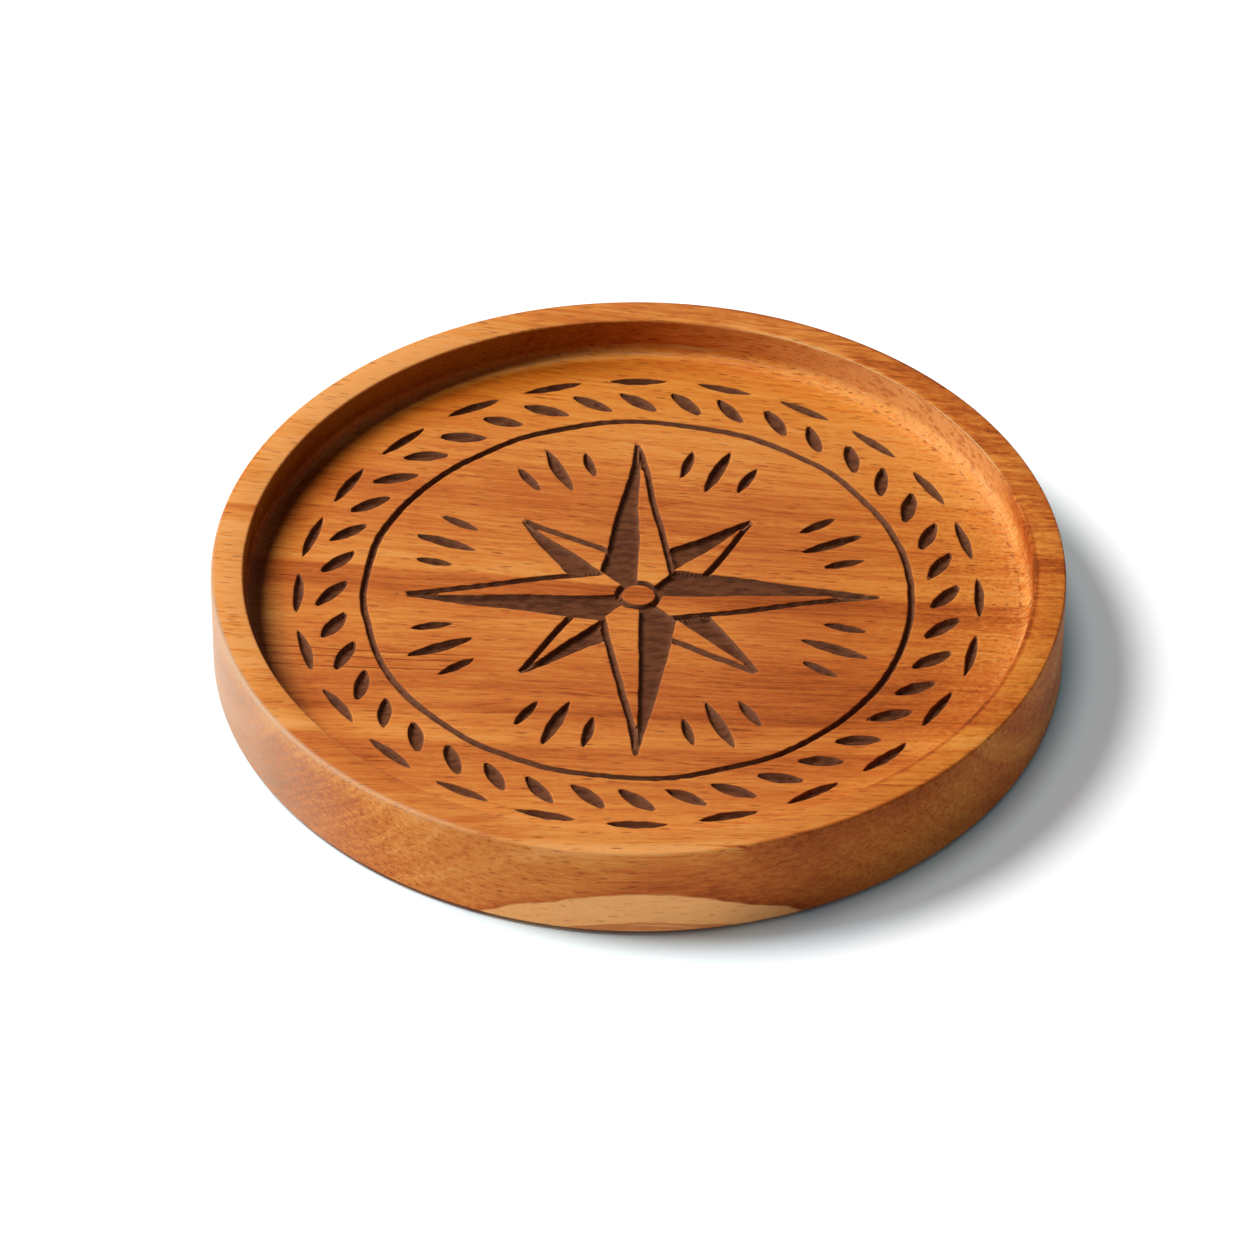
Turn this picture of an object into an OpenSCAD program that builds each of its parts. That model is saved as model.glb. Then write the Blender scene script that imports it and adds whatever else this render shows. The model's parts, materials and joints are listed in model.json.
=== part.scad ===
// Round wooden drink coaster: one turned board with a raised rim and an
// engraved recess, standing on four stick-on pads.
// Lengths are in millimetres and +Z is up. The origin is the centre of the
// circle of pads, on the surface that they stand on.

/* [Board] */
// Outer diameter of the board
board_d = 100; // [96:1:110]
// Thickness of the board, without the pads
board_t = 12; // [10:0.2:15]
// Radius of the eased outer edge at the top
top_edge_r = 0.3; // [0.2:0.1:1.2]
// Radius of the eased outer edge at the bottom
foot_edge_r = 0.4; // [0.2:0.1:1.2]

/* [Recess] */
// Width of the flat rim round the recess, eased edges included
rim_w = 3.8; // [3:0.1:4.6]
// Depth of the recess below the rim
recess_h = 4.5; // [3:0.1:6]
// Radius of the eased inner edge of the rim
lip_edge_r = 0.3; // [0.2:0.1:0.6]
// Radius of the cove where the wall meets the floor
cove_r = 1.2; // [0.5:0.1:1.5]

/* [Engraving] */
// Depth of every engraved cut below the recess floor
cut_h = 0.7; // [0.3:0.1:1.2]
// Plain border between the recess wall and the ring of dashes
border_w = 5.6; // [4:0.2:7]
// Clear band between one engraved ring and the next
band_gap = 1.5; // [1:0.1:2]
// Width of the plain engraved lines
line_w = 0.9; // [0.6:0.1:1.2]

/* [Dashes] */
// Number of dashes in the outer ring
dash_n = 24; // [12:1:28]
// Length of one dash
dash_l = 7.6; // [4:0.2:8]
// Width of one dash at its middle
dash_w = 1.3; // [0.8:0.1:1.8]

/* [Rope ring] */
// Number of strands in the rope ring
strand_n = 40; // [24:1:44]
// Length of one strand
strand_l = 6; // [4:0.2:6.4]
// Width of one strand at its middle
strand_w = 1.8; // [1:0.1:2]
// Angle between a strand and the ring that it follows
strand_tilt = 38; // [25:1:50]

/* [Star] */
// Clear band between the inner line and the tips of the long points
tip_gap = 2; // [1:0.1:4]
// Radius at which two neighbouring long points meet
long_waist_r = 6.4; // [5:0.1:8]
// Radius at which a short point is widest
short_waist_r = 9; // [8:0.1:10]
// Reach of the short points, as a share of the long points' reach
short_reach_share = 0.7; // [0.55:0.01:0.8]
// Radius of the uncut boss in the middle of the star
boss_r = 1.8; // [1:0.1:3]

/* [Rays] */
// Length of the long rays between the points
ray_l = 9; // [5:0.2:10]
// Width of a long ray at its middle
ray_w = 1.6; // [1:0.1:2]
// Length of the two short rays beside each long one
side_ray_l = 5.6; // [3:0.2:6.4]
// Width of a short ray at its middle
side_ray_w = 1.3; // [0.8:0.1:1.6]
// Angle between a long ray and the short ones beside it
side_ray_turn = 9; // [7:1:11]
// Clear band between the inner line and the outer ends of the long rays
ray_gap = 2.4; // [1.6:0.2:5]

/* [Pads] */
// Diameter of one pad
pad_d = 10; // [8:0.5:13]
// Thickness of one pad
pad_t = 1.2; // [1.1:0.1:2]
// Radius of the eased edge round a pad's foot
pad_edge_r = 0.25; // [0.1:0.05:0.35]
// Depth of the round pocket that a pad is stuck into
pocket_h = 0.8; // [0.4:0.1:0.9]
// Clearance between a pad and the wall of its pocket
pocket_gap = 0.2; // [0.1:0.05:0.4]
// Plain wood between a pocket and the outside of the board
pad_inset = 7.8; // [5:0.2:12]

/* [Hidden] */
$fn = 96;
PAD_NODES = ["pad_back_right", "pad_back_left", "pad_front_left", "pad_front_right"];

wood_colour = [0.76, 0.45, 0.22];
pad_colour = [0.16, 0.14, 0.13];

// Every cut runs past the face that it opens by this much
overrun = 1;

board_r = board_d / 2;
underside_z = pad_t - pocket_h;
rim_z = underside_z + board_t;
recess_r = board_r - rim_w;
floor_z = rim_z - recess_h;

// The rings of the engraving, each placed inward from the one outside it
dash_ring_r = recess_r - border_w - dash_w / 2;
strand_reach = strand_l / 2 * sin(strand_tilt);
strand_ring_r = dash_ring_r - dash_w / 2 - band_gap - strand_reach;
inner_line_r = strand_ring_r - strand_reach - band_gap;

point_n = 4;
point_step = 360 / point_n;
long_reach = inner_line_r - line_w - tip_gap;
short_reach = long_reach * short_reach_share;
long_half_angle = point_step / 2;
short_half_angle = point_step / 4;
ray_n = 2 * point_n;
ray_ring_r = inner_line_r - line_w - ray_gap - ray_l / 2;

pocket_r = pad_d / 2 + pocket_gap;
pad_ring_r = board_r - pad_inset - pocket_r;
pad_step = 360 / len(PAD_NODES);
first_pad_angle = pad_step / 2;

// Half section of the plain board, with its two eased outer edges
module blank_section() {
    side_h = board_t - foot_edge_r - top_edge_r;
    widest_edge_r = max(foot_edge_r, top_edge_r);
    translate([0, underside_z])
        square([board_r - widest_edge_r, board_t]);
    translate([0, underside_z + foot_edge_r])
        square([board_r, side_h]);
    translate([0, underside_z])
        square([board_r - foot_edge_r, board_t / 2]);
    translate([0, underside_z + board_t / 2])
        square([board_r - top_edge_r, board_t / 2]);
    translate([board_r - foot_edge_r, underside_z + foot_edge_r])
        circle(foot_edge_r);
    translate([board_r - top_edge_r, rim_z - top_edge_r])
        circle(top_edge_r);
}

// Half section of the hollow: straight wall, cove at the floor, eased lip
module recess_section() {
    translate([0, floor_z])
        square([recess_r - cove_r, recess_h + overrun]);
    translate([0, floor_z + cove_r])
        square([recess_r, recess_h - cove_r + overrun]);
    translate([recess_r - cove_r, floor_z + cove_r])
        circle(cove_r);
    difference() {
        translate([0, rim_z - lip_edge_r])
            square([recess_r + lip_edge_r, lip_edge_r + overrun]);
        translate([recess_r + lip_edge_r, rim_z - lip_edge_r])
            circle(lip_edge_r);
    }
}

// Leaf-shaped stroke along X, pointed at both ends
module stroke(length, width) {
    arc_r = (length * length + width * width) / (4 * width);
    arc_shift = arc_r - width / 2;
    intersection() {
        translate([0, arc_shift]) circle(arc_r);
        translate([0, -arc_shift]) circle(arc_r);
    }
}

// Strokes spaced evenly round a ring, each turned from the ring by tilt
module stroke_ring(count, ring_r, length, width, tilt, start) {
    for (i = [0 : count - 1])
        rotate(start + i * 360 / count)
            translate([ring_r, 0])
                rotate(90 - tilt)
                    stroke(length, width);
}

module ring_line(outer_r) {
    difference() {
        circle(outer_r);
        circle(outer_r - line_w);
    }
}

// Half of one point of the star, from its spine along X to its widest place
module half_point(reach, waist_r, half_angle) {
    waist = waist_r * [cos(half_angle), sin(half_angle)];
    polygon([[0, 0], [reach, 0], waist]);
}

// One half of a point cut whole, the other only along its outer edge
module shaded_point(reach, waist_r, half_angle) {
    waist_x = waist_r * cos(half_angle);
    waist_y = waist_r * sin(half_angle);
    edge_angle = atan2(waist_y, reach - waist_x);
    half_point(reach, waist_r, half_angle);
    mirror([0, 1])
        difference() {
            half_point(reach, waist_r, half_angle);
            translate([-line_w / sin(edge_angle), 0])
                half_point(reach, waist_r, half_angle);
        }
}

module whole_point(reach, waist_r, half_angle) {
    half_point(reach, waist_r, half_angle);
    mirror([0, 1]) half_point(reach, waist_r, half_angle);
}

// Star of long points over short ones, round an uncut boss
module star() {
    difference() {
        union() {
            difference() {
                for (i = [0 : point_n - 1])
                    rotate((i + 1 / 2) * point_step)
                        shaded_point(short_reach, short_waist_r, short_half_angle);
                for (i = [0 : point_n - 1])
                    rotate(i * point_step)
                        whole_point(long_reach, long_waist_r, long_half_angle);
            }
            for (i = [0 : point_n - 1])
                rotate(i * point_step)
                    shaded_point(long_reach, long_waist_r, long_half_angle);
            circle(boss_r + line_w);
        }
        circle(boss_r);
    }
}

// The whole engraved figure, seen from above
module figure() {
    stroke_ring(dash_n, dash_ring_r, dash_l, dash_w, 0, 0);
    stroke_ring(strand_n, strand_ring_r, strand_l, strand_w, strand_tilt, 0);
    stroke_ring(ray_n, ray_ring_r, ray_l, ray_w, 90, short_half_angle);
    for (turn = [-side_ray_turn, side_ray_turn])
        stroke_ring(ray_n, ray_ring_r, side_ray_l, side_ray_w, 90, short_half_angle + turn);
    ring_line(inner_line_r);
    star();
}

// Places what follows at each pad in turn
module at_pad(i) {
    rotate(first_pad_angle + i * pad_step)
        translate([pad_ring_r, 0, 0])
            children();
}

module board() {
    color(wood_colour)
        difference() {
            rotate_extrude() blank_section();
            rotate_extrude() recess_section();
            translate([0, 0, floor_z - cut_h])
                linear_extrude(cut_h + overrun) figure();
            for (i = [0 : len(PAD_NODES) - 1])
                at_pad(i)
                    translate([0, 0, underside_z - overrun])
                        cylinder(h = pocket_h + overrun, r = pocket_r);
        }
}

// One soft disc, stuck to the end of its pocket and eased round its foot
module pad(i) {
    pad_r = pad_d / 2;
    color(pad_colour)
        at_pad(i)
            rotate_extrude() {
                square([pad_r - pad_edge_r, pad_t]);
                translate([0, pad_edge_r]) square([pad_r, pad_t - pad_edge_r]);
                translate([pad_r - pad_edge_r, pad_edge_r]) circle(pad_edge_r);
            }
}

board();
for (i = [0 : len(PAD_NODES) - 1])
    pad(i);
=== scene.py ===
"""Round wooden drink coaster with a raised rim, an engraved recess and stick-on pads.

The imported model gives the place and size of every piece. This script makes the
engraved board and its pads as finished surfaces, with their wood, char and
rubber, and sets the light, the table and the camera. Lengths are in metres with
+Z up, unless a name ends in _mm.
"""

import json
import logging
from dataclasses import dataclass, field
from enum import Enum
from functools import reduce
from operator import add, mul
from typing import Any, Callable, Sequence, Union

import bmesh
import bpy
import numpy as np
from mathutils import Matrix, Vector


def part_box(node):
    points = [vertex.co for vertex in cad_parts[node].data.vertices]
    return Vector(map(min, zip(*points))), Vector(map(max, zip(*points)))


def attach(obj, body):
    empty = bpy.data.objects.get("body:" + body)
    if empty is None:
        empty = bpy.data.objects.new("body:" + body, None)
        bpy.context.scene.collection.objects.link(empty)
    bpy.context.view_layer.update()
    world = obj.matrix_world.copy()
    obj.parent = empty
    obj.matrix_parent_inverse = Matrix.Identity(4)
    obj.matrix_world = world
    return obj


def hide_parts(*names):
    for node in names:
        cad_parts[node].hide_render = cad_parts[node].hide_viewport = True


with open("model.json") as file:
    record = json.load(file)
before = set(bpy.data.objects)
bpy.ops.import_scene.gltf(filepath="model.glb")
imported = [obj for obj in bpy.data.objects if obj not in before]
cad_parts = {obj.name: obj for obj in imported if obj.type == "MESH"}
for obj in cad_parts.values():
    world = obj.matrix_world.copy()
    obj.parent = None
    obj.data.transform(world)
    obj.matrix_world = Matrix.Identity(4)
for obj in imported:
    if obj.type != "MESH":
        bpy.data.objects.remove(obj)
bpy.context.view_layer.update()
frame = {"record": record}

MM = 0.001
WELD_REACH = 0.001 * MM
SHORTEST_EDGE = 0.0005 * MM
CUT_NAME = "cut_mm"
PADS = ("pad_back_right", "pad_back_left", "pad_front_left", "pad_front_right")
LOG = logging.getLogger("coaster")
Input = Union["Signal", float, Sequence[float]]
Array = np.ndarray
Colour = tuple[float, float, float]
Stops = tuple[tuple[float, float], ...]


def math_node(operation: str, swapped: bool = False) -> Callable[..., "Signal"]:
    """Makes a signal's method, which adds a Math node on it and the numbers given.

    Args:
        operation: The node's operation.
        swapped: Whether the signal comes last.

    Returns:
        The method.
    """

    def method(signal: "Signal", *others: Input) -> "Signal":
        values = (*others, signal) if swapped else (signal, *others)
        return signal.graph.node("ShaderNodeMath", {"operation": operation}, dict(enumerate(values)))

    return method


@dataclass(frozen=True)
class Signal:
    """A number, colour or vector on its way through a material's nodes."""

    graph: "Graph"
    socket: bpy.types.NodeSocket

    __add__ = __radd__ = math_node("ADD")
    __sub__ = math_node("SUBTRACT")
    __rsub__ = math_node("SUBTRACT", swapped=True)
    __mul__ = __rmul__ = math_node("MULTIPLY")
    __truediv__ = math_node("DIVIDE")
    __abs__ = math_node("ABSOLUTE")
    power = math_node("POWER")

    def length_with(self, other: "Signal") -> "Signal":
        """Length of the flat vector that this number and another make."""
        return (self * self + other * other).power(0.5)

    def step(self, low: float, high: float) -> "Signal":
        """Smooth step of this number.

        Args:
            low: Value at which the result is 0.
            high: Value at which the result is 1. It may be below low.

        Returns:
            A number from 0 to 1.
        """
        flip = high < low
        ends = {1: high, 2: low, 3: 1.0, 4: 0.0} if flip else {1: low, 2: high, 3: 0.0, 4: 1.0}
        return self.graph.node(
            "ShaderNodeMapRange", {"interpolation_type": "SMOOTHSTEP"}, {0: self, **ends}
        )

    def band(self, rise: float, full: float, *fall: float) -> "Signal":
        """Smooth step up over two values, and down again over two more if they're given."""
        up = self.step(rise, full)
        return up * self.step(fall[1], fall[0]) if fall else up


class Graph:
    """Node tree of a material or of the world."""

    def __init__(self, owner: bpy.types.Material | bpy.types.World) -> None:
        """Empties the owner's node tree.

        Args:
            owner: The material or world.
        """
        self.owner = owner
        owner.use_nodes = True
        self.tree = owner.node_tree
        self.tree.nodes.clear()

    def node(
        self,
        kind: str,
        settings: dict[str, Any] | None = None,
        inputs: dict[int | str, Input] | None = None,
        output: int | str = 0,
    ) -> Signal:
        """Adds a node.

        Args:
            kind: Blender's type name of the node.
            settings: The node's own settings. The key stops holds a ramp's stops.
            inputs: Value or signal for each input socket, by number or name.
            output: The output socket to return.

        Returns:
            The chosen output.
        """
        made = self.tree.nodes.new(kind)
        for key, value in (settings or {}).items():
            if key == "stops":
                self._set_stops(made.color_ramp, value)
            else:
                setattr(made, key, value)
        for key, value in (inputs or {}).items():
            if isinstance(value, Signal):
                self.tree.links.new(value.socket, made.inputs[key])
            else:
                made.inputs[key].default_value = value
        return Signal(self, made.outputs[output])

    @staticmethod
    def _set_stops(ramp: bpy.types.ColorRamp, stops: Sequence[tuple]) -> None:
        """Gives a colour ramp its stops.

        Args:
            ramp: The ramp.
            stops: Pairs of a place and a colour.
        """
        while len(ramp.elements) < len(stops):
            ramp.elements.new(1.0)
        for element, (place, colour) in zip(ramp.elements, stops):
            element.position = place
            element.color = (*colour, 1.0)

    def place_mm(self) -> tuple[Signal, ...]:
        """Reads the place on the object.

        Returns:
            X, Y and Z in millimetres.
        """
        place = self.node("ShaderNodeTexCoord", output="Object")
        scaled = self.node("ShaderNodeVectorMath", {"operation": "SCALE"}, {0: place, "Scale": 1 / MM})
        return tuple(self.node("ShaderNodeSeparateXYZ", inputs={0: scaled}, output=i) for i in range(3))

    def vector(self, x: Input, y: Input, z: Input) -> Signal:
        """Vector from three numbers."""
        return self.node("ShaderNodeCombineXYZ", inputs={0: x, 1: y, 2: z})

    def noise(self, place: Sequence[Input], detail: float = 2.0, roughness: float = 0.5) -> Signal:
        """Noise about 0.5 that repeats on no scale.

        Args:
            place: Where to look it up, one unit for each blob.
            detail: Number of finer layers on top.
            roughness: Strength of the finer layers.

        Returns:
            A number from 0 to 1.
        """
        inputs = {"Vector": self.vector(*place), "Scale": 1.0, "Detail": detail, "Roughness": roughness}
        return self.node("ShaderNodeTexNoise", {"noise_dimensions": "3D"}, inputs)

    def cells(self, place: Sequence[Input]) -> tuple[Signal, ...]:
        """Distance to the nearest of a set of scattered points, and a number for each point."""
        inputs = {"Vector": self.vector(*place), "Scale": 1.0}
        return tuple(self.node("ShaderNodeTexVoronoi", {"feature": "F1"}, inputs, output)
                     for output in ("Distance", "Color"))

    def ramp(self, value: Signal, low: float, high: float, stops: Sequence[tuple]) -> Signal:
        """Colour that a value has between named stops.

        Args:
            value: The value.
            low: Value at the start of the ramp.
            high: Value at the end of the ramp.
            stops: Pairs of a value and a colour, or a value and a number for a grey.

        Returns:
            The colour.
        """
        span = high - low
        colours = [c if isinstance(c, tuple) else (c,) * 3 for _, c in stops]
        places = [((place - low) / span, colour) for (place, _), colour in zip(stops, colours)]
        return self.node("ShaderNodeValToRGB", {"stops": places}, {0: (value - low) / span})

    def blend(self, amount: Input, first: Input, second: Input) -> Signal:
        """Mixes two colours.

        Args:
            amount: Share of the second colour.
            first: First colour.
            second: Second colour.

        Returns:
            The mixed colour.
        """
        colours = [c if isinstance(c, Signal) else (*c, 1.0) for c in (first, second)]
        inputs = {0: amount, 6: colours[0], 7: colours[1]}
        return self.node("ShaderNodeMix", {"data_type": "RGBA"}, inputs, 2)

    def shade(self, colour: Signal, level: Signal) -> Signal:
        """Colour made darker or lighter by a number about 1."""
        return self.node("ShaderNodeVectorMath", {"operation": "SCALE"}, {0: colour, "Scale": level})

    def stain(self, colour: Signal, tint: Sequence[float], amount: Signal) -> Signal:
        """Colour seen through a clear stain.

        Args:
            colour: Colour under the stain.
            tint: Share of red, green and blue that one coat lets through.
            amount: Number of coats.

        Returns:
            The stained colour.
        """
        let_through = [self.node("ShaderNodeMath", {"operation": "POWER"}, {0: part, 1: amount})
                       for part in tint]
        return self.node(
            "ShaderNodeVectorMath", {"operation": "MULTIPLY"}, {0: colour, 1: self.vector(*let_through)}
        )

    def bump(self, height_mm: Signal, strength: float) -> Signal:
        """Normal of a surface with a height added, in millimetres."""
        return self.node(
            "ShaderNodeBump", inputs={"Strength": strength, "Distance": MM, "Height": height_mm}
        )

    def seen_directly(self) -> Signal:
        """Number that is 1 for the camera's rays, also through glass or by a reflection."""
        kinds = ("Camera", "Glossy", "Transmission")
        return reduce(add, (self.node("ShaderNodeLightPath", output=f"Is {kind} Ray") for kind in kinds))

    def finish(self, shader: Signal, output: str = "ShaderNodeOutputMaterial") -> bpy.types.ID:
        """Links a shader to an output of the given kind, and returns the owner."""
        self.tree.links.new(shader.socket, self.tree.nodes.new(output).inputs["Surface"])
        return self.owner

    def principled(
        self, colour: Signal, roughness: Signal, normal: Signal, specular: float
    ) -> bpy.types.Material:
        """Finishes a material that has one surface.

        Args:
            colour: Base colour.
            roughness: Roughness.
            normal: Normal.
            specular: Strength of the reflections, of which 0.5 is usual.

        Returns:
            The material.
        """
        return self.finish(self.node("ShaderNodeBsdfPrincipled", inputs={
            "Base Color": colour,
            "Roughness": roughness,
            "Normal": normal,
            "Specular IOR Level": specular,
        }))


@dataclass(frozen=True)
class Engraving:
    """The engraved figure, with the same sizes as the solid's cuts.

    A motif is given by its signed distance: below 0 inside it, above 0 outside.
    """

    floor_r: float
    cut_h: float = 0.7 * MM
    border_w: float = 5.6 * MM
    band_gap: float = 1.5 * MM
    line_w: float = 0.9 * MM
    dash_n: int = 24
    dash_l: float = 7.6 * MM
    dash_w: float = 1.3 * MM
    strand_n: int = 40
    strand_l: float = 6.0 * MM
    strand_w: float = 1.8 * MM
    strand_tilt: float = np.radians(38)
    tip_gap: float = 2.0 * MM
    point_n: int = 4
    long_waist_r: float = 6.4 * MM
    short_waist_r: float = 9.0 * MM
    short_reach_share: float = 0.7
    boss_r: float = 1.8 * MM
    ray_l: float = 9.0 * MM
    ray_w: float = 1.6 * MM
    side_ray_l: float = 5.6 * MM
    side_ray_w: float = 1.3 * MM
    side_ray_turn: float = np.radians(9)
    ray_gap: float = 2.4 * MM
    tip_blunt: float = 1.4 * MM
    nose_r: float = 0.7 * MM
    sway: float = 0.3 * MM
    sway_pitch: float = 11.0 * MM
    nibble: float = 0.07 * MM
    nibble_pitch: float = 1.6 * MM

    @property
    def dash_ring_r(self) -> float:
        """Radius of the ring of dashes."""
        return self.floor_r - self.border_w - self.dash_w / 2

    @property
    def strand_reach(self) -> float:
        """Half the width of the rope ring."""
        return self.strand_l / 2 * np.sin(self.strand_tilt)

    @property
    def strand_ring_r(self) -> float:
        """Radius of the middle of the rope ring."""
        return self.dash_ring_r - self.dash_w / 2 - self.band_gap - self.strand_reach

    @property
    def inner_line_r(self) -> float:
        """Outer radius of the plain line inside the rope ring."""
        return self.strand_ring_r - self.strand_reach - self.band_gap

    def _folded(self, x: Array, y: Array, count: int, start: float) -> tuple:
        """Turns every point into the sector round +X that repeats count times.

        The angle is wrapped to half a sector either side of +X, and the radius stays.

        Args:
            x: X of the points.
            y: Y of the points.
            count: Number of sectors in a full turn.
            start: Angle of the middle of one sector, in radians.

        Returns:
            X and Y of the turned points.
        """
        step = 2 * np.pi / count
        angle = (np.arctan2(y, x) - start + step / 2) % step - step / 2
        radius = np.hypot(x, y)
        return radius * np.cos(angle), radius * np.sin(angle)

    def _stroke(self, x: Array, y: Array, length: float, width: float) -> Array:
        """Distance to a leaf along X: the part that two circles share.

        It's the greater of the distances from their centres, less their radius.

        Args:
            x: X of the points.
            y: Y of the points.
            length: Length of the leaf.
            width: Width of the leaf at its middle.

        Returns:
            The signed distances.
        """
        arc_r = (length**2 + width**2) / (4 * width)
        shift = arc_r - width / 2
        return np.maximum(np.hypot(x, y - shift), np.hypot(x, y + shift)) - arc_r

    def _stroke_ring(
        self, x: Array, y: Array, count: int, ring_r: float,
        length: float, width: float, tilt: float, start: float,
    ) -> Array:
        """Distance to strokes spaced evenly round a ring.

        The points are folded onto one stroke, then moved and turned onto its own axes.

        Args:
            x: X of the points.
            y: Y of the points.
            count: Number of strokes.
            ring_r: Radius of the ring through their middles.
            length: Length of a stroke.
            width: Width of a stroke at its middle.
            tilt: Angle between a stroke and the ring, in radians.
            start: Angle of one stroke's place, in radians.

        Returns:
            The signed distances.
        """
        u, v = self._folded(x, y, count, start)
        turn = np.pi / 2 - tilt
        u = u - ring_r
        return self._stroke(
            u * np.cos(turn) + v * np.sin(turn), v * np.cos(turn) - u * np.sin(turn), length, width
        )

    def _half_point(self, u: Array, v: Array, reach: float, waist: tuple) -> tuple:
        """Distances to the two straight sides of half a point.

        Args:
            u: Place along the point's spine.
            v: Place across the spine.
            reach: Distance from the middle of the star to the tip.
            waist: Radius and angle from the spine of the widest place.

        Returns:
            The distances to the line of the outer edge and to the inner side.
        """
        waist_r, half = waist
        edge = np.arctan2(waist_r * np.sin(half), reach - waist_r * np.cos(half))
        outer = (u - reach) * np.sin(edge) + v * np.cos(edge)
        inner = v * np.cos(half) - u * np.sin(half)
        return outer, inner

    def _points(self, x: Array, y: Array, start: float, reach: float, waist: tuple) -> tuple:
        """Distances to a ring of points.

        One half of a point is cut whole. The other is cut only along its outer edge.

        Args:
            x: X of the points.
            y: Y of the points.
            start: Angle of one point's spine, in radians.
            reach: Distance from the middle of the star to the tips.
            waist: Radius and angle from the spine of the widest place.

        Returns:
            The distances to the cuts, and to the whole points.
        """
        u, v = self._folded(x, y, self.point_n, start)
        outer, inner = self._half_point(u, np.abs(v), reach, waist)
        whole = np.maximum(np.maximum(outer, inner), u - reach + self.tip_blunt)
        dark = np.maximum(whole, -v)
        line = np.maximum(np.maximum(whole, v), -(outer + self.line_w))
        return np.minimum(dark, line), whole

    def _star(self, x: Array, y: Array) -> Array:
        """Distance to the star: long points over short ones, round a plain boss.

        Args:
            x: X of the points.
            y: Y of the points.

        Returns:
            The signed distances.
        """
        step = 2 * np.pi / self.point_n
        long_reach = self.inner_line_r - self.line_w - self.tip_gap
        long_cut, long_whole = self._points(x, y, 0.0, long_reach, (self.long_waist_r, step / 2))
        short_cut, _ = self._points(
            x, y, step / 2, long_reach * self.short_reach_share, (self.short_waist_r, step / 4)
        )
        radius = np.hypot(x, y)
        star = np.minimum(long_cut, np.maximum(short_cut, -long_whole))
        star = np.minimum(star, radius - self.boss_r - self.line_w)
        return np.maximum(star, self.boss_r - radius)

    def _ripple(self, x: Array, y: Array, pitch: float, seed: int) -> Array:
        """Sum of a few plane waves of about one pitch.

        Args:
            x: X of the points.
            y: Y of the points.
            pitch: Usual length of a wave.
            seed: Seed of the random angles, phases and lengths.

        Returns:
            A number from -1 to 1 for each point.
        """
        rng = np.random.default_rng(seed)
        total = np.zeros_like(x)
        waves = 5
        for angle, phase, stretch in rng.uniform((0, 0, 0.7), (2 * np.pi, 2 * np.pi, 1.4), (waves, 3)):
            along = (x * np.cos(angle) + y * np.sin(angle)) / (pitch * stretch)
            total += np.sin(2 * np.pi * along + phase)
        return total / waves

    def distance(self, x: Array, y: Array) -> Array:
        """Signed distance from each point of the floor to the nearest cut.

        The figure is drawn by hand: its lines sway a little, and its edges are uneven.

        Args:
            x: X of the points.
            y: Y of the points.

        Returns:
            The distance in metres, below 0 inside a cut.
        """
        hand_x = x + self.sway * self._ripple(x, y, self.sway_pitch, 1)
        hand_y = y + self.sway * self._ripple(x, y, self.sway_pitch, 2)
        step = 2 * np.pi / self.point_n
        ray_ring_r = self.inner_line_r - self.line_w - self.ray_gap - self.ray_l / 2
        line_mid_r = self.inner_line_r - self.line_w / 2
        strokes = [
            (self.dash_n, self.dash_ring_r, self.dash_l, self.dash_w, 0.0, 0.0),
            (self.strand_n, self.strand_ring_r, self.strand_l, self.strand_w, self.strand_tilt, 0.0),
        ]
        for turn, length, width in (
            (0.0, self.ray_l, self.ray_w),
            (self.side_ray_turn, self.side_ray_l, self.side_ray_w),
            (-self.side_ray_turn, self.side_ray_l, self.side_ray_w),
        ):
            strokes.append((2 * self.point_n, ray_ring_r, length, width, np.pi / 2, step / 4 + turn))
        motifs = [self._stroke_ring(hand_x, hand_y, *stroke) for stroke in strokes]
        ring_line = np.abs(np.hypot(hand_x, hand_y) - line_mid_r) - self.line_w / 2
        nearest = np.minimum.reduce([*motifs, ring_line, self._star(hand_x, hand_y)])
        return nearest + self.nibble * self._ripple(x, y, self.nibble_pitch, 3)

    def depth(self, distance: Array) -> Array:
        """Depth of the cut: a quarter circle in from each edge, then flat."""
        across = np.clip(-distance / self.nose_r, 0.0, 1.0)
        return self.cut_h * np.sqrt(1 - (1 - across) ** 2)

    def ring_radii(self) -> Array:
        """Spaces the rings of the floor's grid, closer together where the cuts are.

        Returns:
            The radii, from the middle to the floor's edge.
        """
        slack = 0.4 * self.band_gap
        stops = (
            (0.0, 0.34 * MM),
            (self.inner_line_r - self.line_w - slack, 0.2 * MM),
            (self.inner_line_r + slack, 0.6 * MM),
            (self.strand_ring_r - self.strand_reach - slack, 0.27 * MM),
            (self.strand_ring_r + self.strand_reach + slack, 0.6 * MM),
            (self.dash_ring_r - self.dash_w / 2 - slack, 0.21 * MM),
            (self.dash_ring_r + self.dash_w / 2 + slack, 0.8 * MM),
        )
        ends = [start for start, _ in stops[1:]] + [self.floor_r]
        pieces = [np.linspace(start, end, max(1, round((end - start) / pitch)), endpoint=False)
                  for (start, pitch), end in zip(stops, ends)]
        return np.append(np.concatenate(pieces), self.floor_r)


def arc(centre: tuple[float, float], radius: float, start: float, end: float, count: int) -> Array:
    """Points on a circle's arc in the half section, from start to end in degrees."""
    angle = np.radians(np.linspace(start, end, count))
    return np.stack([centre[0] + radius * np.cos(angle), centre[1] + radius * np.sin(angle)], axis=1)


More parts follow.
